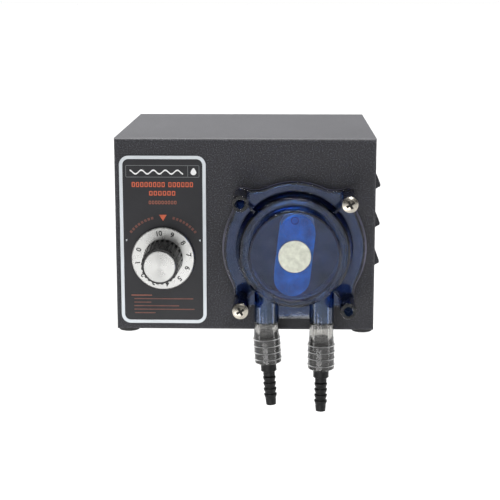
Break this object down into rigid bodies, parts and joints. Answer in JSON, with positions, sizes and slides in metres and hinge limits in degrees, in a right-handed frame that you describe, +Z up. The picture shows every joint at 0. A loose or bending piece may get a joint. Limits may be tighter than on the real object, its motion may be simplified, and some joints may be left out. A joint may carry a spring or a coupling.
{
  "type": "peristaltic pump",
  "caption": "Wall-mounted peristaltic dosing pump: louvred sheet-steel case, numbered speed dial and a clear roller pump head with hose barbs.",
  "frame": {"origin": "centre of the four wall holes, on the back face of the back plate", "axes": "+X to the right seen from the front, +Y towards the wall, +Z up; the panel with the dial and the pump head faces -Y"},
  "size_m": [0.1698, 0.1816, 0.1608],
  "materials": {
    "case": "textured powder coat",
    "rubber": "matte",
    "screw": "zinc plated",
    "black_screw": "black oxide",
    "label": "satin black print on aluminium",
    "aluminium": "fine turned",
    "knob": "black phenolic",
    "steel": "ground",
    "gear_steel": "hobbed",
    "bronze": "sintered",
    "brass": "turned",
    "copper": "enamelled wire and bare copper",
    "board": "solder mask",
    "dark_plastic": "moulded",
    "capacitor": "sleeve",
    "terminal": "moulded",
    "heat_sink": "anodised",
    "magnet": "ferrite",
    "head_base": "moulded",
    "blue_clear": "clear blue, polished",
    "rotor_blue": "moulded",
    "cream": "moulded",
    "roller": "turned",
    "tube": "clear, flexible",
    "connector": "moulded"
  },
  "bodies": {
    "root": {"case_shell": "case", "side_panel_left": "case", "side_panel_right": "case", "back_plate": "case", "back_plate_screws": "black_screw", "rubber_feet": "rubber", "foot_screws": "screw", "label_plate": "label", "pot_body": "steel", "pot_nut": "screw", "control_board": "board", "board_standoffs": "brass", "board_screws": "screw", "board_capacitors": "capacitor", "board_transformer": "dark_plastic", "board_heat_sink": "heat_sink", "terminal_block": "terminal", "cord_gland": "dark_plastic", "gland_locknut": "dark_plastic", "gearbox_front_plate": "steel", "gearbox_rear_plate": "steel", "gearbox_pillars": "steel", "panel_screws": "screw", "pillar_screws": "screw", "shaft_bushings": "bronze", "idler_pin": "steel", "motor_can": "steel", "motor_magnets": "magnet", "motor_bushings": "bronze", "motor_end_cap": "dark_plastic", "motor_brushes": "magnet", "head_base": "head_base", "head_housing": "blue_clear", "head_window": "blue_clear", "head_screws": "screw", "head_nuts": "screw", "squeeze_tube": "tube", "tube_connector_left": "connector", "tube_connector_right": "connector"},
    "rotor": {"output_shaft": "steel", "output_gear": "gear_steel", "rotor_front_arm": "rotor_blue", "rotor_rear_arm": "rotor_blue", "rotor_hub": "cream", "roller_pins": "steel"},
    "roller_1": {"roller_1": "roller"},
    "roller_2": {"roller_2": "roller"},
    "idler": {"idler_gear": "gear_steel"},
    "motor_rotor": {"motor_armature": "gear_steel", "motor_commutator": "copper", "motor_windings": "copper", "motor_shaft": "steel", "motor_pinion": "brass"},
    "dial": {"dial_skirt": "aluminium", "knob_body": "knob", "knob_cap": "aluminium", "knob_set_screw": "black_screw", "pot_shaft": "steel"}
  },
  "joints": [
    {"name": "rotor_spin", "type": "hinge", "parent": "root", "child": "rotor", "pos_m": [0.029, -0.161, -0.007], "axis": [0, 1, 0], "continuous": true},
    {"name": "roller_1_spin", "type": "hinge", "parent": "rotor", "child": "roller_1", "pos_m": [0.03077, -0.158, 0.0085], "axis": [0, 1, 0], "continuous": true},
    {"name": "roller_2_spin", "type": "hinge", "parent": "rotor", "child": "roller_2", "pos_m": [0.02723, -0.158, -0.0225], "axis": [0, 1, 0], "continuous": true},
    {"name": "idler_spin", "type": "hinge", "parent": "root", "child": "idler", "pos_m": [0.029, -0.136, 0.017], "axis": [0, 1, 0], "continuous": true},
    {"name": "motor_spin", "type": "hinge", "parent": "root", "child": "motor_rotor", "pos_m": [0.005, -0.108, 0.017], "axis": [0, 1, 0], "continuous": true},
    {"name": "dial_turn", "type": "hinge", "parent": "root", "child": "dial", "pos_m": [-0.048, -0.158, -0.0136], "axis": [0, 1, 0], "range_deg": [-291, 9]}
  ],
  "couplings": [
    {"joint": "roller_1_spin", "follows": "rotor_spin", "ratio": -2.6421},
    {"joint": "roller_2_spin", "follows": "rotor_spin", "ratio": -2.6421},
    {"joint": "idler_spin", "follows": "rotor_spin", "ratio": -3},
    {"joint": "motor_spin", "follows": "rotor_spin", "ratio": 9}
  ]
}
